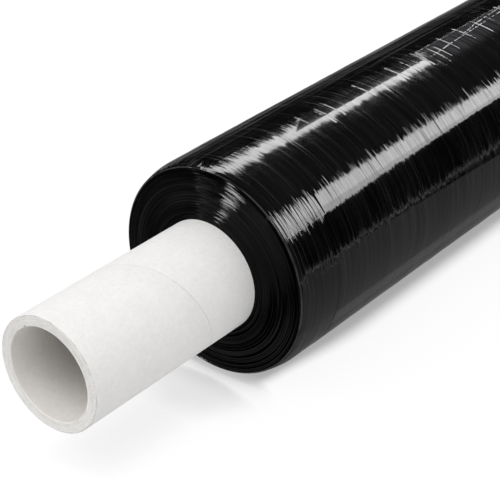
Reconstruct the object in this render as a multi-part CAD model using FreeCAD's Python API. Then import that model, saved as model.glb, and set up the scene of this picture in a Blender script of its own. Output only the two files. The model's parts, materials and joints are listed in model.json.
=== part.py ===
"""Hand roll of stretch film on an extended paperboard core, in millimetres.

The roll stands on its flush end, with Z along its axis. The origin is the centre
of that end. The bare length of core at the top is the handle.
"""
import FreeCAD, Part
import math
import os

# Core: a paperboard tube for a 2 inch mandrel, wound from three plies.
core_bore_radius = 25.4
core_wall = 6.0
core_ply_count = 3
handle_length = 118.0

# Lines between the plies, which show on both ends of the core.
ply_line_width = 0.5
ply_line_depth = 0.3

# Outer ply: one paper strip wound as a helix, with a narrow seam where its edges meet.
ply_strip_width = 70.0
ply_seam_width = 0.6
ply_seam_depth = 0.3
ply_seam_start_angle = 18.0

# Film: 18 inches wide, wound tight on the core.
film_width = 457.0
film_build = 30.3

# The outer turns lie further back at the handle end, and tension pulls in both outer edges.
face_set_back = 3.0
edge_pull_in = 2.4
edge_pull_in_length = 12.0

# Turns of film that show as rings on both ends.
turn_ring_pitch = 2.9
turn_ring_width = 1.0
turn_ring_depth = 0.5

# Tension bands that show as rings round the side.
band_ring_pitch = 93.0
band_ring_width = 2.0
band_ring_depth = 0.35

# Free end of the film: a low step along the side. The lap behind it sinks into the roll,
# and reaches the root depth below the side at the end of its sweep.
tail_step_angle = -44.0
tail_step_height = 0.4
tail_lap_root = 1.5
tail_lap_sweep = 60.0
tail_lap_inset = 2.0

# How far a cutting shape runs past the surface that it cuts.
cut_margin = 1.0

core_radius = core_bore_radius + core_wall
core_length = film_width + handle_length
film_radius = core_radius + film_build
face_edge_radius = film_radius - edge_pull_in
face_edge_height = film_width - face_set_back
side_start = edge_pull_in_length
side_end = face_edge_height - edge_pull_in_length
origin = FreeCAD.Vector(0, 0, 0)
up = FreeCAD.Vector(0, 0, 1)


def section_point(radius, height):
    """A point of a half section, which is turned about the axis later."""
    return FreeCAD.Vector(radius, 0, height)


def polar_point(radius, degrees, height):
    """A point at a radius, an angle about the axis and a height."""
    angle = math.radians(degrees)
    return FreeCAD.Vector(radius * math.cos(angle), radius * math.sin(angle), height)


def chain(points):
    """Straight edges from each point to the next."""
    return [Part.LineSegment(a, b).toShape() for a, b in zip(points, points[1:])]


def arc(start, middle, end):
    """One arc edge through three points."""
    return Part.Arc(start, middle, end).toShape()


def turned(edges):
    """The solid that a closed half section sweeps in one full turn about the axis."""
    return Part.Face(Part.Wire(edges)).revolve(origin, up, 360)


def notched_end(start, end, centres, width, depth, inward):
    """Points of an end face from start to end, with a V notch at each centre radius.

    start and end are (radius, height). inward is the way into the solid along Z.
    """
    slope = (end[1] - start[1]) / (end[0] - start[0])
    direction = math.copysign(1.0, end[0] - start[0])
    points = [section_point(*start)]
    for centre in sorted(centres, reverse=direction < 0):
        for side, sink in ((-0.5, 0.0), (0.0, depth), (0.5, 0.0)):
            radius = centre + direction * side * width
            height = start[1] + slope * (radius - start[0])
            points.append(section_point(radius, height + inward * sink))
    points.append(section_point(*end))
    return points


def evenly_spread(low, high, pitch, width):
    """Centres at a fixed pitch between two limits, with what is left shared at both ends."""
    count = max(0, int((high - low - 2 * width) // pitch) + 1)
    first = (low + high - (count - 1) * pitch) / 2
    return [first + index * pitch for index in range(count)]


def pulled_in_arc(side_height, edge_height):
    """Arc from the straight side to the pulled-in edge of an end, tangent to the side."""
    run = edge_height - side_height
    bend_radius = (edge_pull_in ** 2 + run ** 2) / (2 * edge_pull_in)
    half_angle = math.asin(abs(run) / bend_radius) / 2
    middle_radius = film_radius - bend_radius * (1 - math.cos(half_angle))
    middle_height = side_height + math.copysign(bend_radius * math.sin(half_angle), run)
    return arc(
        section_point(film_radius, side_height),
        section_point(middle_radius, middle_height),
        section_point(face_edge_radius, edge_height),
    )


def outer_ply_seam():
    """Helical V that the edges of the outer ply leave open along the whole core."""
    helix_angle = math.asin(ply_strip_width / (2 * math.pi * core_radius))
    pitch = ply_strip_width / math.cos(helix_angle)
    overrun = ply_seam_width + cut_margin
    path = Part.makeHelix(pitch, core_length + 2 * overrun, core_radius)
    half_top = ply_seam_width / 2 * (1 + cut_margin / ply_seam_depth)
    corners = [
        section_point(core_radius - ply_seam_depth, 0),
        section_point(core_radius + cut_margin, -half_top),
        section_point(core_radius + cut_margin, half_top),
    ]
    outline = Part.Wire(chain(corners + corners[:1]))
    seam = Part.Wire(path.Edges).makePipeShell([outline], True, True)
    start_angle = ply_seam_start_angle - 360 * overrun / pitch
    seam.translate(FreeCAD.Vector(0, 0, -overrun))
    seam.rotate(origin, up, start_angle)
    return seam


def core_tube():
    """Spirally wound paperboard tube, with its ply lines on both ends and its seam outside."""
    ply = core_wall / core_ply_count
    lines = [core_bore_radius + ply * number for number in range(1, core_ply_count)]
    foot = notched_end(
        (core_bore_radius, 0), (core_radius, 0), lines, ply_line_width, ply_line_depth, 1,
    )
    rim = notched_end(
        (core_radius, core_length), (core_bore_radius, core_length),
        lines, ply_line_width, ply_line_depth, -1,
    )
    tube = turned(chain(foot + rim + foot[:1]))
    return tube.cut(outer_ply_seam())


def tail_lap():
    """Crescent of film that rises over the side and stops at the free end in a step."""
    fade_angle = tail_step_angle + tail_lap_sweep
    middle_angle = tail_step_angle + tail_lap_sweep / 2
    lap_radius = film_radius + tail_step_height
    root_radius = film_radius - tail_lap_root
    bottom = side_start + tail_lap_inset
    top = side_end - tail_lap_inset
    step_foot = polar_point(root_radius, tail_step_angle, bottom)
    step_top = polar_point(lap_radius, tail_step_angle, bottom)
    lap_middle = polar_point((lap_radius + root_radius) / 2, middle_angle, bottom)
    root_middle = polar_point(root_radius, middle_angle, bottom)
    fade = polar_point(root_radius, fade_angle, bottom)
    outline = [
        Part.LineSegment(step_foot, step_top).toShape(),
        arc(step_top, lap_middle, fade),
        arc(fade, root_middle, step_foot),
    ]
    return Part.Face(Part.Wire(outline)).extrude(up * (top - bottom))


def band_ring(height):
    """Ring with a V section that sinks one tension band's edge into the side."""
    outside = film_radius + tail_step_height + cut_margin
    depth = band_ring_depth + outside - film_radius
    half_top = band_ring_width / 2 * depth / band_ring_depth
    corners = [
        section_point(film_radius - band_ring_depth, height),
        section_point(outside, height + half_top),
        section_point(outside, height - half_top),
    ]
    return turned(chain(corners + corners[:1]))


def film_roll():
    """All turns of the film as one solid, wound on the core."""
    rings = evenly_spread(core_radius, face_edge_radius, turn_ring_pitch, turn_ring_width)
    flush_end = notched_end(
        (core_radius, 0), (face_edge_radius, 0),
        rings, turn_ring_width, turn_ring_depth, 1,
    )
    handle_end = notched_end(
        (face_edge_radius, face_edge_height), (core_radius, film_width),
        rings, turn_ring_width, turn_ring_depth, -1,
    )
    edges = chain(flush_end)
    edges.append(pulled_in_arc(side_start, 0))
    edges += chain([section_point(film_radius, side_start), section_point(film_radius, side_end)])
    edges.append(pulled_in_arc(side_end, face_edge_height))
    edges += chain(handle_end)
    edges += chain([handle_end[-1], flush_end[0]])
    roll = turned(edges).fuse(tail_lap())
    for height in evenly_spread(side_start, side_end, band_ring_pitch, band_ring_width):
        roll = roll.cut(band_ring(height))
    return roll


def main():
    os.makedirs("parts", exist_ok=True)
    for name, shape in (("core_tube", core_tube()), ("film_roll", film_roll())):
        solid = shape.Solids[0]
        solid.exportStep("parts/" + name + ".step")
        print(name, "volume", round(solid.Volume), "mm3, faces", len(solid.Faces))


main()
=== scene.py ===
"""Looks of a hand roll of black stretch film on a white paperboard core.

The roll stands on its flush end, with Z along its axis, in metres.
"""
import json
import math

import bpy
from mathutils import Matrix, Quaternion, Vector


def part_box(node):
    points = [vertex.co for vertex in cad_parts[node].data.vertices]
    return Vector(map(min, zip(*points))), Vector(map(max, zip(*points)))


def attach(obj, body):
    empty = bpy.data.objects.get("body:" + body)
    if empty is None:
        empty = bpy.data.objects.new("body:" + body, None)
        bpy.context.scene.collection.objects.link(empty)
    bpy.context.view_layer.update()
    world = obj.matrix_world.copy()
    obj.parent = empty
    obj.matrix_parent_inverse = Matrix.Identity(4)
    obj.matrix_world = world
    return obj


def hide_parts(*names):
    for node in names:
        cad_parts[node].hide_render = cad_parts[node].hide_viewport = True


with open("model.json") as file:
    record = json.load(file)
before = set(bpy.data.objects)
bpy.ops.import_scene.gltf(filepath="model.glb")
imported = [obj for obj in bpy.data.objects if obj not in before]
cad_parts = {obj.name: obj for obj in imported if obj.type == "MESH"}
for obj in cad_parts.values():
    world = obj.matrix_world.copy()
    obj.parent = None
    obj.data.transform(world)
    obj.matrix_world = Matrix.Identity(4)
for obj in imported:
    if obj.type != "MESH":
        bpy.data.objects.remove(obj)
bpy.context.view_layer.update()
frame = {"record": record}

bl_info = {
    "name": "Stretch Wrap Roll",
    "version": (1, 0, 0),
    "blender": (4, 5, 0),
    "location": "3D Viewport > Sidebar > Wrap Roll",
    "description": "Builds a hand roll of stretch film on its paperboard core",
    "category": "Add Mesh",
}

FILM_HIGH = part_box("film_roll")[1]
CORE_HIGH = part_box("core_tube")[1]
BORE_RADIUS = next(
    mount["dims"]["r_mm"] / 1000
    for mount in frame["record"]["mounts"] if mount["name"] == "core_bore"
)
CORE_RADIUS = CORE_HIGH.x
FILM_RADIUS = FILM_HIGH.x
FILM_WIDTH = FILM_HIGH.z
CORE_LENGTH = CORE_HIGH.z
DEGREES = 180 / math.pi

# Direction round the axis that is up where the roll lies.
LYING_UP = math.radians(-42.95)

# Directions round the axis of the white backdrop, and of the faintly lit side of the room.
BACKDROP = math.radians(100.0)
ROOM = math.radians(-50.0)

SENSOR_MM = 36.0

# Heights of the puckers round the roll by the free end, and how strong each is.
PUCKERS = (
    (0.3800, 0.7), (0.3672, 1.0), (0.3652, 0.8), (0.3570, 1.2), (0.3480, 0.4), (0.3372, 0.4),
    (0.3270, 1.1), (0.3154, 0.5), (0.2960, 1.1), (0.2833, 0.7), (0.2696, 1.2), (0.2573, 1.1),
    (0.2520, 1.1), (0.2410, 1.2), (0.2221, 1.4), (0.2052, 1.2), (0.1930, 0.5), (0.1760, 0.8),
    (0.1615, 0.6), (0.1440, 0.9), (0.1225, 0.7), (0.1010, 0.9), (0.0790, 0.6), (0.0580, 0.8),
    (0.0360, 0.5),
)
PUCKER_WIDTH = 0.0011

# Place of a dark nick at the bore's edge on the rim.
NICK = (0.0253, -0.0049, 0.575)

# Creases along the roll: (height, angle) points, width, strength, lowest and highest place.
CREASES = (
    (((0.0, -44.0), (0.22, -43.9), (0.457, -44.0)), 0.0003, 0.22, 0.220, 0.295),
    (((0.0, -43.5), (0.155, -43.8), (0.205, -45.9), (0.230, -48.3), (0.457, -49.5)),
     0.0005, 0.9, 0.030, 0.223),
    (((0.0, -45.0), (0.170, -47.2), (0.205, -48.6), (0.240, -50.0), (0.262, -51.2),
      (0.457, -54.0)), 0.0005, 0.9, 0.030, 0.262),
    (((0.0, -30.6), (0.20, -30.4), (0.30, -29.6), (0.36, -28.6), (0.42, -29.6), (0.457, -29.8)),
     0.0002, 0.38, 0.040, 0.436),
    (((0.0, -31.6), (0.20, -31.2), (0.30, -31.6), (0.38, -30.2), (0.457, -31.2)),
     0.0003, 0.25, 0.040, 0.436),
    (((0.0, -80.6), (0.31, -81.0), (0.37, -81.8), (0.43, -83.2), (0.457, -83.6)),
     0.0003, 0.15, 0.240, 0.436),
)
CREASE_FADE = 0.004

# Noise that is drawn out along the turns: its lengths round the roll and across the turns
# in metres, its place in the noise, its detail and its roughness.
NOISES = {
    "ridges": (0.110, 0.0011, 1.0, 3.0, 0.6),
    "fine turns": (0.060, 0.0004, 5.0, 2.0, 0.6),
    "teeth": (0.030, 0.0009, 9.0, 3.0, 0.65),
    "comb": (0.012, 0.0005, 17.0, 2.0, 0.6),
    "waves": (0.020, 0.0030, 11.0, 2.0, 0.6),
    "slow waves": (0.060, 0.010, 13.0, 1.0),
    "gaps": (0.090, 0.0009, 15.0, 2.0, 0.6),
    "torn edge": (0.030, 0.0030, 57.0),
    "broken creases": (0.012, 0.0022, 31.0),
    "worn turns": (0.070, 0.0007, 51.0, 3.0, 0.7),
    "painted sheen patches": (0.04, 0.002, 59.0),
    "painted floor reflection streaks": (0.250, 0.0030, 61.0, 4.0, 0.65),
    "haze": (0.080, 0.0005, 41.0, 3.0, 0.7),
    "haze patches": (0.05, 0.010, 43.0),
    "end rings": (0.200, 0.0005, 21.0, 3.0, 0.75),
    "end waves": (0.016, 0.0008, 23.0, 2.0, 0.6),
    "worn rings": (0.050, 0.0012, 25.0, 2.0, 0.6),
    "pale rings": (0.3, 0.0008, 27.0, 3.0),
    "faint seam": (0.02, 0.02, 3.0),
    "cut layers": (0.006, 0.00022, 2.0, 2.0, 0.6),
    "cut plies": (0.060, 0.0009, 4.0, 1.0),
}

# How far such a noise tilts the surface both ways, or shifts what it shifts, in metres.
TILTS = {
    "ridges": 0.26, "fine turns": 0.16, "comb": 0.12, "waves": 0.014, "slow waves": 0.012,
    "torn edge": 0.010, "end rings": 0.7, "end waves": 0.05,
}

# What a noise is taken to: from, to, the value up to there and the value past there.
MASKS = {
    "teeth": (0.50, 0.78, 0.0, -0.14),
    "gaps": (0.63, 0.70),
    "gaps in the end zone": (0.53, 0.62, 0.0, 0.8),
    "broken creases": (0.35, 0.6, 0.3, 1.0),
    "patchy puckers": (0.32, 0.46),
    "worn turns": (0.56, 0.72, 0.0, 0.26),
    "pale turns": (0.50, 0.72, 0.0, 5.0),
    "painted sheen patches": (0.3, 0.7, 0.4, 1.5),
    "pale wrinkles": (0.50, 0.62, 0.0, 11.0),
    "pale lip": (0.35, 0.6, 3.0, 14.0),
    "painted floor reflection streaks": (0.35, 0.70, 0.0, 3.6),
    "haze": (0.45, 0.75, 0.5, 3.5),
    "haze patches": (0.3, 0.7, 0.4, 1.4),
    "worn rings": (0.3, 0.7, 0.06, 0.16),
    "pale rings": (0.45, 0.66, 0.0, 2.0),
    "clouds": (0.3, 0.7, 0.955, 0.983),
    "flecks": (0.3, 0.7, -0.02, 0.02),
    "grain": (0.3, 0.7, -0.028, 0.028),
    "faint seam": (0.3, 0.65, 0.35, 1.0),
    "cut layers": (0.50, 0.68, 0.02, -0.24),
    "cut plies": (0.35, 0.65, -0.06, 0.03),
    "line under the outer ply": (0.3, 0.6, 0.12, 0.34),
}

# How the side changes round the roll: from and to in degrees, the value up to there and
# the value past there. The upper band is seen at -60 to -43, the lower band at -98 to -84
# and the floor below -114.
ROUND = {
    "calm below": (-128.0, -104.0, 0.2, 1.0),
    "calm on top": (-44.0, -30.0, 1.0, 0.25),
    "steady up to the upper band": (-50.0, -45.0, 0.07, 0.6),
    "steady down to the lower band": (-62.0, -70.0, 0.07, 1.0),
    "upper teeth": (-49.0, -46.0),
    "lower teeth": (-88.0, -84.5),
    "teeth between the bands": (-70.0, -62.0, 1.0, 0.0),
    "comb on the lower band": (-78.0, -86.0, 0.0, 0.20),
    "comb above the floor": (-106.0, -100.0, 0.15, 1.0),
    "upper drift": (-72.0, -64.0),
    "lower drift": (-90.0, -94.0),
    "drift above the floor": (-112.0, -104.0),
    "gaps": (-76.0, -80.0),
    "wrinkles": (-45.0, -30.0),
    "pale wrinkles": (-38.0, -28.0),
    "loose up to the step": (-42.42, -42.38, 1.0, 0.0),
    "loose turn": (-51.0, -45.0, 0.12, 0.20),
    "puckers from": (-60.0, -54.0),
    "puckers to": (-46.0, -38.0, 1.0, 0.0),
    "floor": (-113.0, -115.0),
    "foot from": (-147.0, -150.0),
    "foot to": (-158.0, -156.0),
}

# How the side changes along the roll: from and to as distances from the handle end, the
# values, and whether it eases in and out.
ALONG = {
    "end zone": (0.0345, 0.0335),
    "bulge from": (0.015, 0.009, 0.0, 0.19, False),
    "bulge to": (0.009, 0.004, 0.0, 0.19, False),
    "upper teeth": (0.112, 0.052, 0.25, 1.0),
    "upper drift": (0.012, 0.168, 0.0, 0.055, False),
    "lower drift": (0.002, 0.187, 0.0, -0.080, False),
    "low patch": (0.195, 0.183, 1.0, 0.0),
    "loose film": (0.074, 0.070, 1.0, 0.0),
}

# Groove round the roll at the end zone, and the directions of what is dark: between the
# bands, and between the lower band and the floor.
GROOVE_FROM_END = 0.0362
GROOVE_WIDTH = 0.0006
DARK_BETWEEN_BANDS = -73.0
DARK_ABOVE_FLOOR = -106.0

# Direction that creases and puckers face, so that they mirror the upper softbox.
BRIGHT = -50.2

# Lamps that only the film mirrors: name, angle in degrees, then distance, width and radiance.
STRIPS = (
    ("top_strip", -7.2, 1.25, 0.31, 6.8),
    ("side_strip", -90.5, 1.26, 0.53, 6.0),
    ("side_strip_core", -87.0, 1.20, 0.28, 2.2),
)
STRIP_LOW = -2.2
STRIP_HIGH = 0.9

# Lamps above the handle end: name, angle of the streak in degrees, width and radiance.
END_STRIPS = (
    ("end_strip_a", -54.0, 0.07, 88.0),
    ("end_strip_b", -32.0, 0.02, 8.0),
    ("end_strip_c", -83.0, 0.015, 20.0),
)

# Lamps that light the paperboard and the floor: name, angle and rise in degrees, radiance.
SOFTBOXES = (
    ("key_softbox", -36.0, 42.0, 2.75),
    ("fill_softbox", -150.0, 30.0, 1.9),
)
SOFTBOX_DISTANCE = 1.5
SOFTBOX_TARGET = 0.4
SOFTBOX_SIZE = 1.2


def length_setting(name, description, default):
    return bpy.props.FloatProperty(
        name=name, description=description, default=default, unit="LENGTH",
    )


def angle_setting(name, description, default):
    return bpy.props.FloatProperty(
        name=name, description=description, default=default, subtype="ANGLE",
    )


def colour_setting(name, description, default):
    return bpy.props.FloatVectorProperty(
        name=name, description=description, default=default, subtype="COLOR", min=0, max=1,
    )


def segments_setting(description, default):
    return bpy.props.IntProperty(
        name="Segments", description=description, default=default, min=24,
    )


class FilmSettings(bpy.types.PropertyGroup):
    """Sizes and finish of the wound film."""

    edge_pull_in: length_setting(
        "Edge Pull-In", "How much smaller the outer edge of an end is", 0.0024,
    )
    edge_pull_in_length: length_setting(
        "Edge Pull-In Length", "Length over which the side curves in to an end", 0.012,
    )
    face_set_back: length_setting(
        "Face Set-Back", "How far the outer turns lie behind the inner ones", 0.003,
    )
    edge_round: length_setting(
        "Edge Round", "Radius of the rounded outer edge of an end", 0.0013,
    )
    gap_radius: length_setting(
        "Gap Radius", "Radius at which the outer turns stand off the others", 0.0572,
    )
    tail_angle: angle_setting(
        "Tail Angle", "Where the free end of the film stops", math.radians(-44.0),
    )
    segments: segments_setting("Faces round the roll", 150)
    seed: bpy.props.FloatProperty(
        name="Seed", description="Place in the noise that the wound turns follow", default=3.7,
    )
    colour: colour_setting(
        "Film Colour", "Colour of the pigmented film", (0.0028, 0.0028, 0.0030),
    )
    roughness: bpy.props.FloatProperty(
        name="Roughness", description="Roughness of the film's surface", default=0.085,
    )


class CoreSettings(bpy.types.PropertyGroup):
    """Sizes and finish of the paperboard core."""

    rim_round: length_setting("Rim Round", "Radius of the worn edges of the rim", 0.0005)
    ply_strip_width: length_setting(
        "Ply Width", "Width of the paper strip of the outer ply", 0.070,
    )
    seam_angle: angle_setting(
        "Seam Angle", "Where the seam of the outer ply meets the flush end", math.radians(18.0),
    )
    seam_width: length_setting("Seam Width", "Gap between the edges of the outer ply", 0.0006)
    segments: segments_setting("Faces round the core", 128)
    colour: colour_setting("Paper Colour", "Colour of the outer ply", (0.862, 0.853, 0.838))
    rim_colour: colour_setting(
        "Rim Colour", "Colour of the cut plies on the rim", (0.735, 0.722, 0.702),
    )
    bore_colour: colour_setting("Bore Colour", "Colour of the inner ply", (0.80, 0.77, 0.738))


class StageSettings(bpy.types.PropertyGroup):
    """Camera, floor and lights."""

    camera_out: length_setting(
        "Camera Out", "Distance from the roll's axis to the camera", 0.6434,
    )
    camera_above_rim: length_setting(
        "Camera Above Rim", "Height of the camera above the core's rim", 0.4360,
    )
    camera_heading: angle_setting(
        "Camera Heading", "Turn of the view to the right of the axis", math.radians(0.29),
    )
    camera_pitch: angle_setting(
        "Camera Pitch", "Angle of the view below level", math.radians(42.63),
    )
    camera_roll: angle_setting(
        "Camera Roll", "Turn of the picture's top towards the right", math.radians(121.97),
    )
    camera_lens: bpy.props.FloatProperty(
        name="Lens", description="Focal length in millimetres", default=116.6,
    )
    lying_up: angle_setting(
        "Lying Up", "Direction round the axis that is up where the roll lies", LYING_UP,
    )
    floor_colour: colour_setting("Floor Colour", "Colour of both floors", (0.10, 0.10, 0.10))


class Nodes:
    """Adds nodes to a tree with their inputs set or linked, one call for each node."""

    def __init__(self, tree):
        self.tree = tree

    def add(self, kind, inputs=None, output=0, **options):
        """A new node's output. Inputs are values or other nodes' outputs."""
        node = self.tree.nodes.new(kind)
        for name, value in options.items():
            setattr(node, name, value)
        for key, value in (inputs or {}).items():
            socket = node.inputs[key]
            if isinstance(value, bpy.types.NodeSocket):
                self.tree.links.new(value, socket)
            else:
                socket.default_value = value
        return node.outputs[output]

    def math(self, operation, first, second=0.0, third=0.0):
        return self.add(
            "ShaderNodeMath", {0: first, 1: second, 2: third}, operation=operation,
        )

    def times(self, first, *others):
        for other in others:
            first = self.math("MULTIPLY", first, other)
        return first

    def plus(self, first, *others):
        for other in others:
            first = self.math("ADD", first, other)
        return first

    def most(self, first, second):
        return self.math("MAXIMUM", first, second)

    def minus(self, first, second):
        return self.math("SUBTRACT", first, second)

    def split(self, vector):
        """The three components of a vector."""
        node = self.tree.nodes.new("ShaderNodeSeparateXYZ")
        self.tree.links.new(vector, node.inputs[0])
        return node.outputs

    def join(self, x=0.0, y=0.0, z=0.0):
        return self.add("ShaderNodeCombineXYZ", {0: x, 1: y, 2: z})

    def spread(self, value, low, high, start=0.0, end=1.0, smooth=True):
        """value taken from low..high to start..end, and held there."""
        return self.add(
            "ShaderNodeMapRange",
            {"Value": value, "From Min": low, "From Max": high, "To Min": start, "To Max": end},
            interpolation_type="SMOOTHSTEP" if smooth else "LINEAR",
        )

    def signed(self, value, size):
        """Noise from 0..1 taken to -size..size."""
        return self.math("MULTIPLY_ADD", value, 2 * size, -size)

    def vector(self, operation, first, second=None, scale=None):
        inputs = {0: first}
        if second is not None:
            inputs[1] = second
        if scale is not None:
            inputs["Scale"] = scale
        return self.add("ShaderNodeVectorMath", inputs, operation=operation)

    def vector_length(self, vector):
        return self.add("ShaderNodeVectorMath", {0: vector}, 1, operation="LENGTH")

    def noise(self, vector, scale=1.0, detail=2.0, roughness=0.5):
        return self.add(
            "ShaderNodeTexNoise",
            {"Vector": vector, "Scale": scale, "Detail": detail, "Roughness": roughness},
            noise_dimensions="3D",
        )


def wound_coordinates(nodes, position):
    """x, y, z and the distance from the axis."""
    x, y, z = nodes.split(position)
    radius = nodes.math("SQRT", nodes.plus(nodes.times(x, x), nodes.times(y, y)))
    return x, y, z, radius


def round_angle(nodes, x, y):
    """The angle round the axis, from -pi to pi."""
    return nodes.math("ARCTAN2", y, x)


def wound_noise(nodes, position, around, across, seed=0.0, detail=2.0, roughness=0.5):
    """Noise stretched along the turns: around and across are its lengths in metres."""
    x, y, z, radius = wound_coordinates(nodes, position)
    vector = nodes.join(
        nodes.times(x, 1 / around),
        nodes.times(y, 1 / around),
        nodes.plus(nodes.times(nodes.plus(z, radius), 1 / across), seed),
    )
    return nodes.noise(vector, 1.0, detail, roughness)


def arc_points(centre, radius, start, end, count):
    """Points of an arc, from one angle to the other in degrees."""
    points = []
    for index in range(count + 1):
        angle = math.radians(start + (end - start) * index / count)
        points.append(
            (centre[0] + radius * math.cos(angle), centre[1] + radius * math.sin(angle))
        )
    return points


def line_points(start, end, count):
    """Points from start up to but not at end, evenly spaced."""
    return [
        (start[0] + (end[0] - start[0]) * i / count, start[1] + (end[1] - start[1]) * i / count)
        for i in range(count)
    ]


def new_object(name, data):
    """A new object in the scene."""
    thing = bpy.data.objects.new(name, data)
    bpy.context.scene.collection.objects.link(thing)
    return thing


def section_object(name, section, inner_radius, puckers=()):
    """An object whose edges go once round a closed half section of (radius, height)."""
    points = [(radius - inner_radius, -height, 0.0) for radius, height in section]
    edges = [(i, (i + 1) % len(points)) for i in range(len(points))]
    mesh = bpy.data.meshes.new(name)
    mesh.from_pydata(points, edges, [])
    if puckers:
        raised = mesh.attributes.new("pucker", "FLOAT", "POINT")
        for place, (radius, height) in zip(raised.data, section):
            place.value = sum(
                strength * math.exp(-((height - middle) / (PUCKER_WIDTH / 2)) ** 2)
                for middle, strength in puckers
            )
    return new_object(name, mesh)


def new_tree(name, sockets):
    """A geometry node tree with its geometry sockets and named number inputs."""
    tree = bpy.data.node_groups.new(name, "GeometryNodeTree")
    tree.interface.new_socket("Geometry", in_out="INPUT", socket_type="NodeSocketGeometry")
    tree.interface.new_socket("Geometry", in_out="OUTPUT", socket_type="NodeSocketGeometry")
    for label, value in sockets.items():
        whole = isinstance(value, int)
        kind = "NodeSocketInt" if whole else "NodeSocketFloat"
        socket = tree.interface.new_socket(label, in_out="INPUT", socket_type=kind)
        socket.default_value = value
    return tree


def spun(nodes, given, dense_angle=None):
    """The section in a tree's input geometry, swept once round the axis.

    The faces are three times as close together at the dense angle as on average.
    """
    inner_radius = given["Core Radius"]
    profile = nodes.add("GeometryNodeMeshToCurve", {0: given["Geometry"]})
    circle = nodes.add(
        "GeometryNodeCurvePrimitiveCircle",
        {"Resolution": given["Segments"], "Radius": inner_radius},
    )
    if dense_angle is not None:
        x, y, z = nodes.split(nodes.add("GeometryNodeInputPosition"))
        angle = round_angle(nodes, x, y)
        past = nodes.math("SINE", nodes.minus(angle, dense_angle))
        pull = 0.66
        angle = nodes.minus(angle, nodes.times(past, pull))
        place = nodes.join(
            nodes.times(nodes.math("COSINE", angle), inner_radius),
            nodes.times(nodes.math("SINE", angle), inner_radius),
        )
        circle = nodes.add("GeometryNodeSetPosition", {"Geometry": circle, "Position": place})
    return nodes.add("GeometryNodeCurveToMesh", {"Curve": circle, "Profile Curve": profile})


def finish_tree(nodes, mesh, material, other=None, where=True):
    """Ends a tree in its smooth, realized and painted mesh, with another material somewhere."""
    smooth = nodes.add("GeometryNodeSetShadeSmooth", {"Geometry": mesh})
    real = nodes.add("GeometryNodeRealizeInstances", {"Geometry": smooth})
    painted = nodes.add("GeometryNodeSetMaterial", {"Geometry": real, "Material": material})
    if other is not None:
        painted = nodes.add(
            "GeometryNodeSetMaterial",
            {"Geometry": painted, "Selection": where, "Material": other},
        )
    out = nodes.tree.nodes.new("NodeGroupOutput")
    nodes.tree.links.new(painted, out.inputs[0])


def grown(piece, tree, values):
    """Runs a node tree on the piece and keeps its result as the piece's plain mesh."""
    modifier = piece.modifiers.new(tree.name, "NODES")
    modifier.node_group = tree
    for item in tree.interface.items_tree:
        if item.in_out == "INPUT" and item.name in values:
            modifier[item.identifier] = values[item.name]
    graph = bpy.context.evaluated_depsgraph_get()
    mesh = bpy.data.meshes.new_from_object(piece.evaluated_get(graph))
    piece.modifiers.clear()
    old = piece.data
    piece.data = mesh
    mesh.name = piece.name
    bpy.data.meshes.remove(old)
    return piece


def new_material(name):
    material = bpy.data.materials.new(name)
    material.use_nodes = True
    material.node_tree.nodes.clear()
    return material, Nodes(material.node_tree)


def surface(nodes, shader):
    out = nodes.tree.nodes.new("ShaderNodeOutputMaterial")
    nodes.tree.links.new(shader, out.inputs["Surface"])


def tilted_normal(nodes, normal, around, along, around_tilt, along_tilt):
    """The surface's normal, tilted round the roll and along its section."""
    tilted = nodes.vector("ADD", normal, nodes.vector("SCALE", around, scale=around_tilt))
    tilted = nodes.vector("ADD", tilted, nodes.vector("SCALE", along, scale=along_tilt))
    return nodes.vector("NORMALIZE", tilted)


def height_curve(nodes, z, points):
    """An angle in degrees that follows the height through (height, angle) points."""
    low = min(angle for height, angle in points) - 1.0
    high = max(angle for height, angle in points) + 1.0
    out = nodes.tree.nodes.new("ShaderNodeFloatCurve")
    line = out.mapping.curves[0]
    places = [(height / FILM_WIDTH, (angle - low) / (high - low)) for height, angle in points]
    line.points[0].location = places[0]
    line.points[1].location = places[-1]
    for place in places[1:-1]:
        line.points.new(*place)
    out.mapping.update()
    nodes.tree.links.new(nodes.times(z, 1 / FILM_WIDTH), out.inputs["Value"])
    return nodes.math("MULTIPLY_ADD", out.outputs[0], high - low, low)


def mixed(nodes, factor, first, second, blend="MIX"):
    """Two colours mixed."""
    return nodes.add(
        "ShaderNodeMix", {"Factor": factor, "A": first, "B": second},
        data_type="RGBA", blend_type=blend, output=2,
    )


def bell(nodes, offset, width):
    """1 where the offset is 0, falling to 0 on both sides."""
    way = nodes.times(offset, 1 / width)
    return nodes.math("EXPONENT", nodes.times(way, way, -1.0))


class Place:
    """Where on the roll a shader is, and what the tables above give there."""

    def __init__(self, nodes):
        self.nodes = nodes
        self.position = nodes.add("ShaderNodeTexCoord", output="Object")
        self.normal = nodes.add("ShaderNodeNewGeometry", output="Normal")
        self.x, self.y, self.z, self.radius = wound_coordinates(nodes, self.position)
        self.angle = round_angle(nodes, self.x, self.y)
        self.degrees = nodes.times(self.angle, DEGREES)

    def noise(self, name):
        return wound_noise(self.nodes, self.position, *NOISES[name])

    def stretched_noise(self, density, detail=2.0, roughness=0.5):
        """Noise with its own number of features in a metre along x, y and z."""
        vector = self.nodes.vector("MULTIPLY", self.position, density)
        return self.nodes.noise(vector, 1.0, detail, roughness)

    def tilt(self, name):
        return self.nodes.signed(self.noise(name), TILTS[name])

    def mask(self, name, noise=None):
        """A table's values by its own noise, or by another."""
        noise = self.noise(name) if noise is None else noise
        return self.nodes.spread(noise, *MASKS[name])

    def round(self, name, degrees=None):
        """A table's values by the angle round the axis, or by a shifted one."""
        return self.nodes.spread(self.degrees if degrees is None else degrees, *ROUND[name])

    def along(self, name, z=None):
        """A table's values by the height, or by a shifted one."""
        start, end, *values = ALONG[name]
        height = self.z if z is None else z
        return self.nodes.spread(height, FILM_WIDTH - start, FILM_WIDTH - end, *values)


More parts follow.
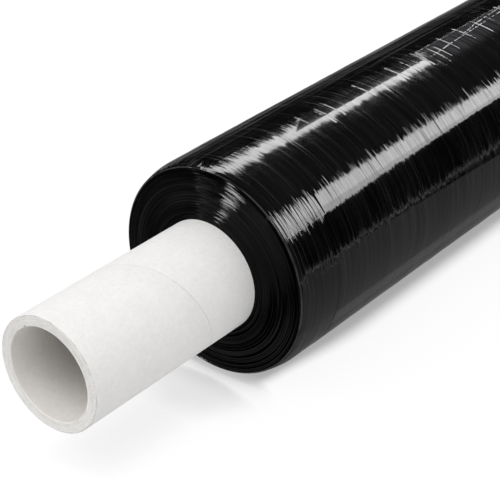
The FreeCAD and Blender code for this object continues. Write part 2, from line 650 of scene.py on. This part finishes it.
def film_surface(place, settings, turn, slope, rough, pale, gloss):
    """Glossy black film, with its normal turned round the roll and tilted along its section."""
    nodes = place.nodes
    haze = nodes.plus(nodes.times(place.mask("haze"), place.mask("haze patches")), pale)
    colour = mixed(nodes, 1.0, (*settings.colour, 1), nodes.join(haze, haze, haze), "MULTIPLY")
    around = nodes.join(
        nodes.times(nodes.math("DIVIDE", place.y, place.radius), -1.0),
        nodes.math("DIVIDE", place.x, place.radius),
    )
    along = nodes.vector("CROSS_PRODUCT", place.normal, around)
    shader = nodes.add(
        "ShaderNodeBsdfPrincipled",
        {
            "Base Color": colour, "Roughness": rough, "IOR": 1.5, "Specular IOR Level": gloss,
            "Anisotropic": 1.0, "Tangent": along,
            "Normal": tilted_normal(nodes, place.normal, around, along, turn, slope),
        },
    )
    surface(nodes, shader)


def turn_slopes(place, calm):
    """Slopes across the turns, and the bulge of the side towards the end."""
    nodes = place.nodes
    steady = nodes.most(
        place.round("steady up to the upper band"), place.round("steady down to the lower band"),
    )
    slope = nodes.plus(place.tilt("ridges"), place.tilt("fine turns"))
    bulge = nodes.minus(place.along("bulge from"), place.along("bulge to"))
    return nodes.minus(nodes.times(slope, calm, steady), bulge)


def turn_teeth(place, calm, end_zone):
    """Fine turns that face a little further round the roll than the others."""
    nodes = place.nodes
    lively = nodes.plus(
        nodes.times(place.round("upper teeth"), place.along("upper teeth")),
        nodes.times(place.round("lower teeth"), place.round("teeth between the bands")),
    )
    teeth = nodes.times(place.mask("teeth"), lively)
    least_comb = 0.08
    comb = nodes.plus(least_comb, end_zone, place.round("comb on the lower band"))
    comb = nodes.times(place.tilt("comb"), comb, place.round("comb above the floor"))
    turn = nodes.plus(teeth, comb, place.tilt("waves"), place.tilt("slow waves"))
    return nodes.times(turn, calm)


def roll_drift(place):
    """Two turns of a roll that is not quite round, which grow along it, above and below."""
    nodes = place.nodes
    above = nodes.times(place.along("upper drift"), place.round("upper drift"))
    below = nodes.times(
        place.along("lower drift"), place.round("lower drift"),
        place.round("drift above the floor"),
    )
    return above, below


def dark_gaps(place, drift, calm, end_zone):
    """Turns that face what is dark beside a band: how much each does, and how it is turned."""
    nodes = place.nodes
    noise = place.noise("gaps")
    groove = bell(nodes, nodes.minus(place.z, FILM_WIDTH - GROOVE_FROM_END), GROOVE_WIDTH)
    by_end = nodes.times(place.mask("gaps in the end zone", noise), end_zone)
    gaps = nodes.most(groove, nodes.most(place.mask("gaps", noise), by_end))
    gaps = nodes.times(gaps, place.round("gaps"), calm)
    facing = nodes.math("MULTIPLY_ADD", drift, DEGREES, place.degrees)
    middle_of_band = -96.0
    by_floor = nodes.spread(facing, middle_of_band + 0.5, middle_of_band - 0.5)
    dark = nodes.math(
        "MULTIPLY_ADD", by_floor, DARK_ABOVE_FLOOR - DARK_BETWEEN_BANDS, DARK_BETWEEN_BANDS,
    )
    return gaps, nodes.times(nodes.minus(dark, place.degrees), 1 / DEGREES)


def loose_film(place):
    """How loose the film lies by its free end, and how much of that is in the low patch."""
    nodes = place.nodes
    low = place.along("low patch", nodes.plus(place.z, place.tilt("torn edge")))
    # the lower edge of the loose film, in degrees, which runs lower and softer down the roll
    edge = nodes.math("MULTIPLY_ADD", low, -8.0, -50.6)
    soft = nodes.math("MULTIPLY_ADD", low, 3.0, 0.8)
    loose = nodes.spread(nodes.minus(place.degrees, edge), nodes.times(soft, -1.0), soft)
    loose = nodes.times(loose, place.round("loose up to the step"))
    # it starts along a slanting line
    slant = nodes.times(nodes.plus(place.degrees, 47.0), 0.0022)
    loose = nodes.times(loose, place.along("loose film", nodes.plus(place.z, slant)))
    return loose, low


def shining_lines(place):
    """Creases along the roll and puckers round it, and the turn that makes them bright."""
    nodes = place.nodes
    shine = 0.0
    for points, width, strength, low_end, high_end in CREASES:
        offset = nodes.minus(place.degrees, height_curve(nodes, place.z, points))
        offset = nodes.times(offset, FILM_RADIUS / DEGREES)
        crease = nodes.times(
            bell(nodes, offset, width), nodes.spread(place.z, low_end - CREASE_FADE, low_end),
            nodes.spread(place.z, high_end, high_end + CREASE_FADE, 1.0, 0.0), strength,
        )
        shine = nodes.most(shine, crease)
    shine = nodes.times(shine, place.mask("broken creases"))

    # puckers start and stop at uneven angles, and are patchy
    patchy = place.stretched_noise((160.0, 160.0, 90.0), roughness=0.6)
    uneven = place.stretched_noise((0.0, 0.0, 230.0), detail=1.0)
    shifted = nodes.plus(place.degrees, nodes.signed(uneven, 16.0))
    pucker = nodes.times(
        nodes.add("ShaderNodeAttribute", output="Fac", attribute_name="pucker"),
        place.round("puckers from", shifted), place.round("puckers to", shifted),
        place.mask("patchy puckers", patchy),
    )
    shine = nodes.spread(nodes.most(shine, pucker), 0.20, 0.55)

    aim = nodes.times(nodes.minus(BRIGHT, place.degrees), 1 / DEGREES)
    return shine, nodes.plus(aim, nodes.signed(patchy, 0.05))


def film_wear_and_painted_sheen(place, settings, drawn, loose, low, end_zone):
    """Roughness, and paleness that is painted sheen and reflection: thin grey turns, the loose
    film, the floor's reflection, glints on wrinkles and on the lip.
    """
    nodes = place.nodes
    smudge = nodes.noise(place.position, 60.0, 4.0, 0.55)
    rough = nodes.spread(smudge, 0.3, 0.75, settings.roughness * 0.7, settings.roughness * 1.4)
    worn = place.noise("worn turns")
    rough = nodes.plus(rough, place.mask("worn turns", worn), nodes.times(loose, 0.08))

    # painted sheen: the loose film by the free end is paler, in patches, and more so in the low
    # patch
    painted_sheen_loose = nodes.math("MULTIPLY_ADD", low, 8.0, 5.0)
    painted_sheen_loose = nodes.times(loose, painted_sheen_loose, place.mask("painted sheen patches"))
    # painted reflection of the floor: paler streaks where the side mirrors the floor, weaker in
    # the end zone, and a much paler band by the roll's foot
    on_floor = nodes.times(place.round("floor"), nodes.minus(1.0, nodes.times(end_zone, 0.8)))
    foot = nodes.times(place.round("foot from"), place.round("foot to"))
    streaks = nodes.plus(place.mask("painted floor reflection streaks"), nodes.times(foot, 14.0))
    # painted glints along the long wrinkles on the upper side
    wrinkles = nodes.times(place.mask("pale wrinkles", drawn), place.round("pale wrinkles"))
    # painted glint: a thin pale line on the lip at the end's outer edge, in smudges
    lip = FILM_RADIUS - settings.edge_pull_in - 0.0003
    lip = bell(nodes, nodes.minus(place.radius, lip), 0.0003)
    # this paleness is all painted light: painted sheen on thin turns, which are also rougher, with
    # the painted sheen, reflection and glints above
    pale = nodes.plus(
        painted_sheen_loose, place.mask("pale turns", worn), nodes.times(on_floor, streaks), wrinkles,
        nodes.times(lip, place.mask("pale lip", smudge)),
    )
    return rough, pale


def film_material(settings):
    """Side of the roll, whose turns break what it mirrors into streaks round the roll."""
    material, nodes = new_material("black_film")
    place = Place(nodes)

    # the wound surface is calm on the side that lay on the winder's roller
    calm = nodes.times(place.round("calm below"), place.round("calm on top"))
    end_zone = place.along("end zone")
    slope = turn_slopes(place, calm)
    above, below = roll_drift(place)
    turn = nodes.plus(turn_teeth(place, calm, end_zone), above, below)
    gaps, dark = dark_gaps(place, below, calm, end_zone)
    turn = nodes.add("ShaderNodeMix", {"Factor": gaps, "A": turn, "B": dark})

    # long wrinkles, drawn along the roll on its upper side
    drawn = place.stretched_noise((520.0, 520.0, 9.0), roughness=0.6)
    wrinkled = nodes.times(nodes.signed(drawn, 0.50), place.round("wrinkles"))
    turn = nodes.plus(turn, wrinkled)

    # the free end lies loose, so it turns away there and mirrors less sharply
    loose, low = loose_film(place)
    away = nodes.math("MULTIPLY_ADD", low, -0.52, place.round("loose turn"))
    turn = nodes.plus(turn, nodes.times(loose, away))

    shine, aim = shining_lines(place)
    turn = nodes.add("ShaderNodeMix", {"Factor": shine, "A": turn, "B": aim})
    slope = nodes.times(slope, nodes.minus(1.0, shine))
    rough, pale = film_wear_and_painted_sheen(place, settings, drawn, loose, low, end_zone)
    film_surface(place, settings, turn, slope, rough, pale, gloss=0.5)
    return material


def film_end_material(settings):
    """End of the roll, where every turn is seen edge on as a fine ring and mirrors little."""
    material, nodes = new_material("black_film_end")
    place = Place(nodes)
    from_top = nodes.minus(place.angle, LYING_UP)
    # painted light and shade: the rings are paler on the end's lower side where the roll lies, and
    # the end is darker on one side across it and paler on the other
    painted_light_below = nodes.spread(nodes.math("COSINE", from_top), 0.3, -0.8, 0.2, 3.5)
    painted_light_and_shade_by_side = nodes.spread(nodes.math("SINE", from_top), -0.7, 0.7, -0.45, 0.5)
    pale = nodes.plus(nodes.times(place.mask("pale rings"), painted_light_below), painted_light_and_shade_by_side)
    film_surface(
        place, settings, place.tilt("end waves"), place.tilt("end rings"),
        place.mask("worn rings"), pale, gloss=0.07,
    )
    return material


def paper_seam(place, settings, on_rim):
    """Seam where the edges of the outer ply meet, a helix round the core: its gap, and a tone with
    a painted highlight and painted shade at the step.
    """
    nodes = place.nodes
    helix = math.asin(settings.ply_strip_width / (2 * math.pi * CORE_RADIUS))
    pitch = settings.ply_strip_width / math.cos(helix)
    start = settings.seam_angle / (2 * math.pi) + 0.5
    turn = nodes.math("MULTIPLY_ADD", place.angle, -1 / (2 * math.pi), start)
    turn = nodes.math("MULTIPLY_ADD", place.z, 1 / pitch, turn)
    more_turns = 8.0  # keeps the turns above zero
    turn = nodes.math("FRACT", nodes.plus(turn, more_turns))
    offset = nodes.times(nodes.minus(turn, 0.5), settings.ply_strip_width)
    outside = nodes.times(
        nodes.spread(place.radius, CORE_RADIUS - 0.0006, CORE_RADIUS - 0.0002),
        nodes.minus(1.0, on_rim),
    )
    # the seam is pressed flat towards the rim
    open_seam = nodes.spread(place.z, CORE_LENGTH - 0.055, CORE_LENGTH - 0.035, 1.0, 0.0)
    gap = bell(nodes, nodes.minus(offset, 0.00010), settings.seam_width * 0.3)
    gap = nodes.times(gap, outside, nodes.most(open_seam, 0.15))
    # painted highlight on the lip of the outer ply's edge, and painted shade over the lap beside
    # it
    lip = bell(nodes, nodes.plus(offset, 0.00035), settings.seam_width * 0.5)
    lap = nodes.times(
        nodes.spread(offset, 0.0, 0.0003), nodes.spread(offset, 0.004, 0.016, 1.0, 0.0),
    )
    step = nodes.minus(nodes.times(lip, 0.03), nodes.times(lap, 0.025))
    step = nodes.times(step, outside, open_seam)
    return gap, nodes.plus(nodes.times(gap, place.mask("faint seam"), -0.17), step)


def rim_shade(place, on_rim, layers):
    """Thin cut layers, a browner line under the outer ply, and a dark nick at the bore."""
    nodes = place.nodes
    cut = nodes.plus(place.mask("cut layers", layers), place.mask("cut plies"))
    cut = nodes.times(cut, on_rim)
    line = nodes.times(
        bell(nodes, nodes.minus(place.radius, CORE_RADIUS - 0.00022), 0.00018),
        nodes.spread(place.z, CORE_LENGTH - 0.0008, CORE_LENGTH - 0.0005),
        place.mask("line under the outer ply", layers),
    )
    nick = nodes.vector_length(nodes.vector("SUBTRACT", place.position, NICK))
    nick = nodes.spread(nick, 0.0004, 0.0009, 0.5, 0.0)
    return nodes.minus(nodes.minus(cut, line), nick)


def painted_bore_shade(place, inside):
    """Painted shade: the bore is darker deeper in, and more so on its upper side where the roll
    lies.
    """
    nodes = place.nodes
    deep = nodes.spread(
        place.z, CORE_LENGTH - 0.006, CORE_LENGTH - 0.072, 0.0, 0.72, smooth=False,
    )
    above = nodes.math("COSINE", nodes.minus(place.angle, LYING_UP))
    return nodes.times(deep, nodes.math("MULTIPLY_ADD", above, 0.28, 0.95), inside)


def paper_material(settings):
    """Off-white paperboard: felted fibres outside, cut plies on the rim, a greyer bore with
    painted shade deeper in.
    """
    material, nodes = new_material("core_paperboard")
    place = Place(nodes)
    on_rim = nodes.spread(nodes.math("ABSOLUTE", nodes.split(place.normal)[2]), 0.5, 0.9)
    inside = nodes.spread(place.radius, BORE_RADIUS + 0.0007, BORE_RADIUS + 0.0001)

    # felted fibres: soft clouds, short flecks and a fine grain
    clouds = nodes.noise(place.position, 110.0, 4.0, 0.62)
    flecks = nodes.noise(place.position, 420.0, 3.0, 0.6)
    grain = nodes.noise(place.position, 1500.0, 2.0, 0.6)
    layers = place.noise("cut layers")
    gap, seam = paper_seam(place, settings, on_rim)
    tone = nodes.plus(
        place.mask("clouds", clouds), place.mask("flecks", flecks), place.mask("grain", grain),
        seam, rim_shade(place, on_rim, layers),
    )
    # painted shade in the bore
    tone = nodes.minus(tone, painted_bore_shade(place, inside))

    colour = mixed(nodes, inside, (*settings.colour, 1), (*settings.bore_colour, 1))
    bare = nodes.times(on_rim, nodes.minus(1.0, nodes.times(inside, 0.6)))
    colour = mixed(nodes, bare, colour, (*settings.rim_colour, 1))
    colour = mixed(nodes, 1.0, colour, nodes.join(tone, tone, tone), "MULTIPLY")

    height = nodes.plus(
        nodes.times(grain, 0.4), nodes.times(flecks, 0.6), nodes.times(gap, -3.0),
        nodes.times(layers, on_rim, 2.0),
    )
    bump = nodes.add("ShaderNodeBump", {"Strength": 0.6, "Distance": 0.00010, "Height": height})
    shader = nodes.add(
        "ShaderNodeBsdfPrincipled",
        {"Base Color": colour, "Roughness": 0.85, "IOR": 1.45, "Normal": bump},
    )
    surface(nodes, shader)
    return material


def side_heights(low, high, step):
    """Heights up the side, evenly spread, with five closer ones at each pucker."""
    count = round((high - low) / step)
    heights = [low + (high - low) * index / count for index in range(count)]
    clear = 0.0002
    for middle, strength in PUCKERS:
        near = [middle + offset * PUCKER_WIDTH for offset in (-0.8, -0.4, 0.0, 0.4, 0.8)]
        heights = [h for h in heights if h < near[0] - clear or h > near[-1] + clear] + near
    return sorted(heights)


def film_section(settings):
    """Half section of the film, once round: bore, handle end, side and flush end."""
    edge_radius = FILM_RADIUS - settings.edge_pull_in
    top_edge = FILM_WIDTH - settings.face_set_back
    run = settings.edge_pull_in_length
    bend = (settings.edge_pull_in ** 2 + run ** 2) / (2 * settings.edge_pull_in)
    turn = math.degrees(math.asin(run / bend))
    edge = settings.edge_round
    slope = settings.face_set_back / (edge_radius - CORE_RADIUS)
    gap = settings.gap_radius

    def face(radius):
        return FILM_WIDTH - slope * (radius - CORE_RADIUS)

    section = [(CORE_RADIUS, 0.0)]
    section += line_points((CORE_RADIUS, FILM_WIDTH), (gap - 0.0005, face(gap - 0.0005)), count=84)
    section += [
        (gap - 0.0005, face(gap)), (gap - 0.0003, face(gap) - 0.0001),
        (gap - 0.0001, face(gap) - 0.0009), (gap + 0.0001, face(gap) - 0.0009),
        (gap + 0.0003, face(gap) - 0.0001), (gap + 0.0006, face(gap) + 0.0001),
    ]
    centre = (edge_radius - edge - 0.0001, top_edge - edge)
    section += arc_points(centre, edge, 88, turn, count=9)
    low_turn = turn - math.degrees(edge / bend)
    bend_centre = (FILM_RADIUS - bend, top_edge - run)
    section += arc_points(bend_centre, bend, low_turn, 0, count=12)[:-1]
    heights = side_heights(run, top_edge - run, step=0.00104)
    section += [(FILM_RADIUS, height) for height in reversed(heights)]
    section += arc_points((FILM_RADIUS - bend, run), bend, 0, -low_turn, count=10)
    section += arc_points((edge_radius - edge - 0.0001, edge), edge, -turn, -88, count=5)
    flat = edge_radius - edge - 0.0006
    section += line_points((flat, 0.0), (CORE_RADIUS + 0.0005, 0.0), count=30)
    return section


def film_tree(settings, material, end_material):
    """Spins the film's section and presses its turns into the side and both ends."""
    tree = new_tree("wound_film", {
        "Segments": settings.segments,
        "Core Radius": CORE_RADIUS,
        "Seed": settings.seed,
        "Tail Angle": settings.tail_angle,
        "Tail Height": 0.00012,
        "Pucker Height": 0.00004,
        "Band Depth": 0.00030,
        "Ridge Depth": 0.00016,
        "Turn Depth": 0.00015,
        "End Zone Depth": 0.00015,
    })
    nodes = Nodes(tree)
    given = tree.nodes.new("NodeGroupInput").outputs
    mesh = spun(nodes, given, given["Tail Angle"])
    position = nodes.add("GeometryNodeInputPosition")
    x, y, z, radius = wound_coordinates(nodes, position)
    angle = round_angle(nodes, x, y)
    seed = given["Seed"]
    edge = FILM_RADIUS - settings.edge_pull_in
    on_side = nodes.spread(radius, edge, FILM_RADIUS - 0.0004)
    on_top = nodes.spread(z, FILM_WIDTH * 0.4, FILM_WIDTH * 0.6, -1.0, 1.0)
    on_end = nodes.times(
        nodes.spread(radius, edge - 0.0012, edge - 0.0020),
        nodes.spread(radius, CORE_RADIUS, CORE_RADIUS + 0.0004),
    )
    bands = wound_noise(nodes, position, 0.110, 0.011, seed, detail=1.0)
    ridges = wound_noise(nodes, position, 0.070, 0.0032, seed, roughness=0.6)
    turns = wound_noise(nodes, position, 0.200, 0.0016, seed, detail=3.0, roughness=0.6)
    press = nodes.plus(
        nodes.times(bands, given["Band Depth"]),
        nodes.times(ridges, given["Ridge Depth"]),
    )
    start, end = ALONG["end zone"]
    deeper = nodes.spread(
        z, FILM_WIDTH - start, FILM_WIDTH - end, 0.0, given["End Zone Depth"],
    )
    press = nodes.plus(press, deeper)
    past_tail = nodes.minus(angle, given["Tail Angle"])
    behind = nodes.times(
        nodes.spread(past_tail, -0.006, 0.006),
        nodes.spread(past_tail, 0.15, 0.9, 1.0, 0.0, smooth=False),
    )
    inside = nodes.times(
        nodes.spread(z, 0.016, 0.020), nodes.spread(z, 0.380, 0.386, 1.0, 0.0),
    )
    lap = nodes.times(behind, inside, given["Tail Height"])
    pucker = nodes.add(
        "GeometryNodeInputNamedAttribute", {"Name": "pucker"}, data_type="FLOAT",
    )
    near_tail = nodes.times(
        nodes.spread(past_tail, -0.42, -0.12), nodes.spread(past_tail, -0.02, 0.10, 1.0, 0.0),
    )
    raised = nodes.times(pucker, near_tail, given["Pucker Height"])
    press = nodes.minus(nodes.minus(press, lap), raised)
    least_press = 0.00001
    press = nodes.times(nodes.plus(press, least_press), on_side)
    sink = nodes.times(turns, given["Turn Depth"], on_end, on_top)
    outward = nodes.times(nodes.math("DIVIDE", press, radius), -1.0)
    offset = nodes.join(
        nodes.times(x, outward), nodes.times(y, outward), nodes.times(sink, -1.0),
    )
    mesh = nodes.add("GeometryNodeSetPosition", {"Geometry": mesh, "Offset": offset})
    inner = nodes.add(
        "FunctionNodeCompare", {0: radius, 1: edge - 0.0006}, operation="LESS_THAN",
    )
    finish_tree(nodes, mesh, material, end_material, inner)
    return tree


def core_section(settings):
    """Half section of the core, finer where it shows: bore, rim, outside and foot."""
    low = BORE_RADIUS
    high = CORE_RADIUS
    edge = settings.rim_round
    top = CORE_LENGTH
    seen = top - 0.150
    hidden = FILM_WIDTH - 0.002
    section = line_points((low, edge), (low, seen), count=40)
    section += line_points((low, seen), (low, top - edge), count=100)
    section += arc_points((low + edge, top - edge), edge, 180, 90, count=4)
    section += line_points((low + edge + 0.0002, top), (high - edge, top), count=24)
    section += arc_points((high - edge, top - edge), edge, 90, 0, count=4)
    section += line_points((high, top - edge - 0.0004), (high, hidden), count=280)
    section += line_points((high, hidden), (high, edge), count=20)
    section += arc_points((high - edge, edge), edge, 0, -90, count=4)
    section += line_points((high - edge - 0.0002, 0), (low + edge, 0), count=12)
    section += arc_points((low + edge, edge), edge, 270, 180, count=4)[:-1]
    return section


def core_tree(settings, material):
    """Spins the core's section."""
    tree = new_tree("wound_core", {
        "Segments": settings.segments,
        "Core Radius": CORE_RADIUS,
    })
    nodes = Nodes(tree)
    given = tree.nodes.new("NodeGroupInput").outputs
    mesh = spun(nodes, given)
    finish_tree(nodes, mesh, material)
    return tree


class WRAP_OT_film(bpy.types.Operator):
    """Build the wound film"""

    bl_idname = "wrap.film"
    bl_label = "Film Roll"

    def execute(self, context):
        settings = context.scene.wrap_film
        material = film_material(settings)
        piece = section_object("film_turns", film_section(settings), CORE_RADIUS, PUCKERS)
        tree = film_tree(settings, material, film_end_material(settings))
        grown(piece, tree, {"Segments": settings.segments})
        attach(piece, "root")
        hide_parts("film_roll")
        return {"FINISHED"}


class WRAP_OT_core(bpy.types.Operator):
    """Build the paperboard core"""

    bl_idname = "wrap.core"
    bl_label = "Paperboard Core"

    def execute(self, context):
        settings = context.scene.wrap_core
        material = paper_material(settings)
        piece = section_object("paper_core", core_section(settings), CORE_RADIUS)
        grown(piece, core_tree(settings, material), {"Segments": settings.segments})
        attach(piece, "root")
        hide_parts("core_tube")
        return {"FINISHED"}


def around_axis(angle, distance, height):
    """A point at an angle round the axis, a distance from it and a height."""
    return Vector((distance * math.cos(angle), distance * math.sin(angle), height))


def floor_object(name, corners, material):
    mesh = bpy.data.meshes.new(name)
    mesh.from_pydata(corners, [], [(0, 1, 2, 3)])
    mesh.materials.append(material)
    floor = new_object(name, mesh)
    return floor


def painted_floor_shadow(nodes):
    """Painted contact shadow: how much the roll covers the floor close to it, from ambient
    occlusion, less where the bare core is above.
    """
    x, y, z = nodes.split(nodes.add("ShaderNodeTexCoord", output="Object"))
    under_film = nodes.spread(z, FILM_WIDTH - 0.090, FILM_WIDTH - 0.006, 0.018, 0.011)
    under_core = nodes.spread(z, FILM_WIDTH - 0.012, FILM_WIDTH + 0.013, 0.0, 0.034)
    open_sky = nodes.add(
        "ShaderNodeAmbientOcclusion", {"Distance": nodes.plus(under_film, under_core)},
        output="AO", samples=16,
    )
    covered = nodes.spread(open_sky, 0.35, 0.82, 0.77, 0.0, smooth=False)
    most = nodes.spread(z, FILM_WIDTH - 0.022, FILM_WIDTH + 0.021, 0.55, 0.19)
    covered = nodes.math("MINIMUM", nodes.times(covered, covered), most)
    # on the floor that the roll stands on, only its foot has a painted shadow
    foot = nodes.spread(nodes.vector_length(nodes.join(x, y, z)), 0.076, 0.090, 1.0, 0.0)
    return nodes.times(covered, nodes.most(nodes.spread(z, 0.05, 0.15), foot))


def floor_material(settings):
    """Pale floor that keeps the lamps' shadow and is clear from behind; it glows white where seen,
    less a painted contact shadow, and glows as fill light.
    """
    material, nodes = new_material("studio_floor")
    geometry = nodes.tree.nodes.new("ShaderNodeNewGeometry")
    path = nodes.tree.nodes.new("ShaderNodeLightPath")
    seen = nodes.most(path.outputs["Is Camera Ray"], path.outputs["Is Transmission Ray"])
    diffuse = nodes.add("ShaderNodeBsdfDiffuse", {"Color": (*settings.floor_colour, 1)})
    # the floor glows: white to the camera less the painted shadow, as fill light for diffuse rays,
    # and faintly in what the film mirrors
    lift = nodes.plus(
        nodes.times(seen, nodes.minus(0.92, painted_floor_shadow(nodes))),
        nodes.times(path.outputs["Is Diffuse Ray"], 0.65),
        nodes.times(path.outputs["Is Glossy Ray"], 0.14),
    )
    lift = nodes.add("ShaderNodeEmission", {"Strength": lift})
    lit = nodes.add("ShaderNodeAddShader", {0: diffuse, 1: lift})
    clear = nodes.add("ShaderNodeBsdfTransparent")
    shader = nodes.add(
        "ShaderNodeMixShader", {0: geometry.outputs["Backfacing"], 1: lit, 2: clear},
    )
    surface(nodes, shader)
    return material


def add_softbox(name, place, target, size, radiance):
    """A rectangular lamp at a place, turned to its target, as bright as white paper is 1."""
    data = bpy.data.lights.new(name, "AREA")
    data.shape = "RECTANGLE"
    data.size = size[0]
    data.size_y = size[1]
    data.energy = radiance * math.pi * size[0] * size[1]
    light = new_object(name, data)
    light.location = place
    light.rotation_euler = (target - place).to_track_quat("-Z", "Y").to_euler()
    light.visible_camera = False
    return light


def add_strip(name, angle, distance, width, radiance):
    """A long softbox beside the roll, along its axis, that only the film mirrors."""
    middle = (STRIP_LOW + STRIP_HIGH) / 2
    place = around_axis(math.radians(angle), distance, middle)
    size = (width, STRIP_HIGH - STRIP_LOW)
    light = add_softbox(name, place, Vector((0, 0, middle)), size, radiance)
    light.visible_diffuse = False


def add_end_strip(name, angle, width, radiance, settings):
    """A strip above the handle end that its rings mirror as one streak, at an angle."""
    streak = math.radians(angle)
    rise = math.atan2(settings.camera_above_rim + CORE_LENGTH - FILM_WIDTH, settings.camera_out)
    aside = math.cos(rise) * math.cos(streak)
    height = 1.2
    length = 0.8
    back = 0.25
    offset = height * aside / math.sqrt(1 - aside ** 2)
    across = around_axis(streak + math.pi / 2, 1.0, 0.0)
    level = around_axis(streak, 1.0, 0.0)
    target = Vector((0, 0, FILM_WIDTH))
    place = target + Vector((0, 0, height)) + across * offset - level * back
    light = add_softbox(name, place, target, (width, length), radiance)
    down = (target - place).normalized()
    level = (level - down * level.dot(down)).normalized()
    matrix = Matrix((level.cross(-down), level, -down)).transposed()
    light.rotation_euler = matrix.to_euler()
    light.visible_diffuse = False


def add_lights(settings, foot, side):
    """The lamps, with a thin one along the far edge of the floor that the film mirrors."""
    middle = Vector((0, 0, -0.6))
    edge = add_softbox("floor_edge", foot + side * 0.56 + middle, middle, (0.012, 2.4), 1.6)
    edge.visible_diffuse = False
    for strip in STRIPS:
        add_strip(*strip)
    for strip in END_STRIPS:
        add_end_strip(*strip, settings)
    target = Vector((0, 0, SOFTBOX_TARGET))
    for name, angle, rise, radiance in SOFTBOXES:
        rise = math.radians(rise)
        place = target + around_axis(
            math.radians(angle), SOFTBOX_DISTANCE * math.cos(rise),
            SOFTBOX_DISTANCE * math.sin(rise),
        )
        light = add_softbox(name, place, target, (SOFTBOX_SIZE, SOFTBOX_SIZE), radiance)
        light.visible_glossy = False


def add_floors(settings, foot, side):
    """A floor to stand on, and one that the roll lies on where the camera sees it."""
    material = floor_material(settings)
    reach = 4.0
    floor = floor_object(
        "floor",
        [(-reach, -reach, 0), (reach, -reach, 0), (reach, reach, 0), (-reach, reach, 0)],
        material,
    )
    floor.visible_glossy = False
    floor.visible_shadow = False
    near = foot + side * 0.5
    far = foot - side * 0.8
    low = Vector((0, 0, 0.001))
    split = Vector((0, 0, FILM_WIDTH))
    high = Vector((0, 0, 1.4))
    floor_object("lying_floor", [near + low, far + low, far + split, near + split], material)
    # the film's side does not mirror the floor past the handle end
    beyond = floor_object(
        "lying_floor_beyond", [near + split, far + split, far + high, near + high], material,
    )
    beyond.visible_glossy = False


def add_camera(settings):
    """The photograph's camera."""
    camera_data = bpy.data.cameras.new("camera")
    camera_data.lens = settings.camera_lens
    camera_data.sensor_width = SENSOR_MM
    camera_data.sensor_fit = "HORIZONTAL"
    camera = new_object("camera", camera_data)
    camera.location = (0, -settings.camera_out, CORE_LENGTH + settings.camera_above_rim)
    level = math.cos(settings.camera_pitch)
    forward = Vector((
        level * math.sin(settings.camera_heading),
        level * math.cos(settings.camera_heading),
        -math.sin(settings.camera_pitch),
    ))
    turn = forward.to_track_quat("-Z", "Y") @ Quaternion((0, 0, 1), -settings.camera_roll)
    camera.rotation_euler = turn.to_euler()
    return camera


def studio_world():
    """White where it is seen, with plain light, and a backdrop in a dark room to mirror."""
    world = bpy.data.worlds.new("studio")
    world.use_nodes = True
    world.node_tree.nodes.clear()
    nodes = Nodes(world.node_tree)
    path = nodes.tree.nodes.new("ShaderNodeLightPath")
    seen = nodes.most(path.outputs["Is Camera Ray"], path.outputs["Is Transmission Ray"])
    x, y, z = nodes.split(nodes.add("ShaderNodeTexCoord", output="Generated"))
    level = nodes.math("SQRT", nodes.plus(nodes.times(x, x), nodes.times(y, y)))

    def towards(angle):
        """1 in this direction round the axis, 0 square to it, -1 opposite."""
        way = nodes.plus(nodes.times(x, math.cos(angle)), nodes.times(y, math.sin(angle)))
        return nodes.math("DIVIDE", way, level)

    behind = towards(BACKDROP)
    backdrop = nodes.plus(
        nodes.spread(behind, 0.80, 0.92, 0.0, 0.224), nodes.spread(behind, 0.45, 0.85, 0.0, 0.08),
    )
    backdrop = nodes.times(backdrop, nodes.spread(z, 0.0, 0.4, 1.0, 0.0))
    room = nodes.spread(towards(ROOM), 0.4, 0.8, 0.008, 0.056)
    mirrored = nodes.times(nodes.plus(backdrop, room), path.outputs["Is Glossy Ray"])
    plain_light = nodes.times(path.outputs["Is Diffuse Ray"], 0.648)
    strength = nodes.most(seen, nodes.plus(mirrored, plain_light))
    background = nodes.add(
        "ShaderNodeBackground", {"Color": (1, 1, 1, 1), "Strength": strength},
    )
    out = nodes.tree.nodes.new("ShaderNodeOutputWorld")
    nodes.tree.links.new(background, out.inputs[0])
    return world


class WRAP_OT_stage(bpy.types.Operator):
    """Add the floors, the lights and the camera"""

    bl_idname = "wrap.stage"
    bl_label = "Studio Stage"

    def execute(self, context):
        settings = context.scene.wrap_stage
        scene = context.scene
        up = around_axis(settings.lying_up, 1.0, 0)
        side = up.cross(Vector((0, 0, 1)))
        clearance = 0.0002
        foot = -up * (FILM_RADIUS + clearance)
        add_floors(settings, foot, side)
        add_lights(settings, foot, side)
        scene.camera = add_camera(settings)
        scene.world = studio_world()
        scene.view_settings.view_transform = "Standard"
        return {"FINISHED"}


class WRAP_PT_panel(bpy.types.Panel):
    """Lists what the roll is built from."""

    bl_label = "Stretch Wrap Roll"
    bl_space_type = "VIEW_3D"
    bl_region_type = "UI"
    bl_category = "Wrap Roll"

    def draw(self, context):
        for operator in (WRAP_OT_core, WRAP_OT_film, WRAP_OT_stage):
            self.layout.operator(operator.bl_idname)


CLASSES = (
    FilmSettings, CoreSettings, StageSettings,
    WRAP_OT_core, WRAP_OT_film, WRAP_OT_stage, WRAP_PT_panel,
)


def register():
    for cls in CLASSES:
        bpy.utils.register_class(cls)
    bpy.types.Scene.wrap_film = bpy.props.PointerProperty(type=FilmSettings)
    bpy.types.Scene.wrap_core = bpy.props.PointerProperty(type=CoreSettings)
    bpy.types.Scene.wrap_stage = bpy.props.PointerProperty(type=StageSettings)


def unregister():
    del bpy.types.Scene.wrap_stage
    del bpy.types.Scene.wrap_core
    del bpy.types.Scene.wrap_film
    for cls in reversed(CLASSES):
        bpy.utils.unregister_class(cls)


def main():
    register()
    bpy.ops.wrap.core()
    bpy.ops.wrap.film()
    bpy.ops.wrap.stage()


if __name__ == "__main__":
    main()
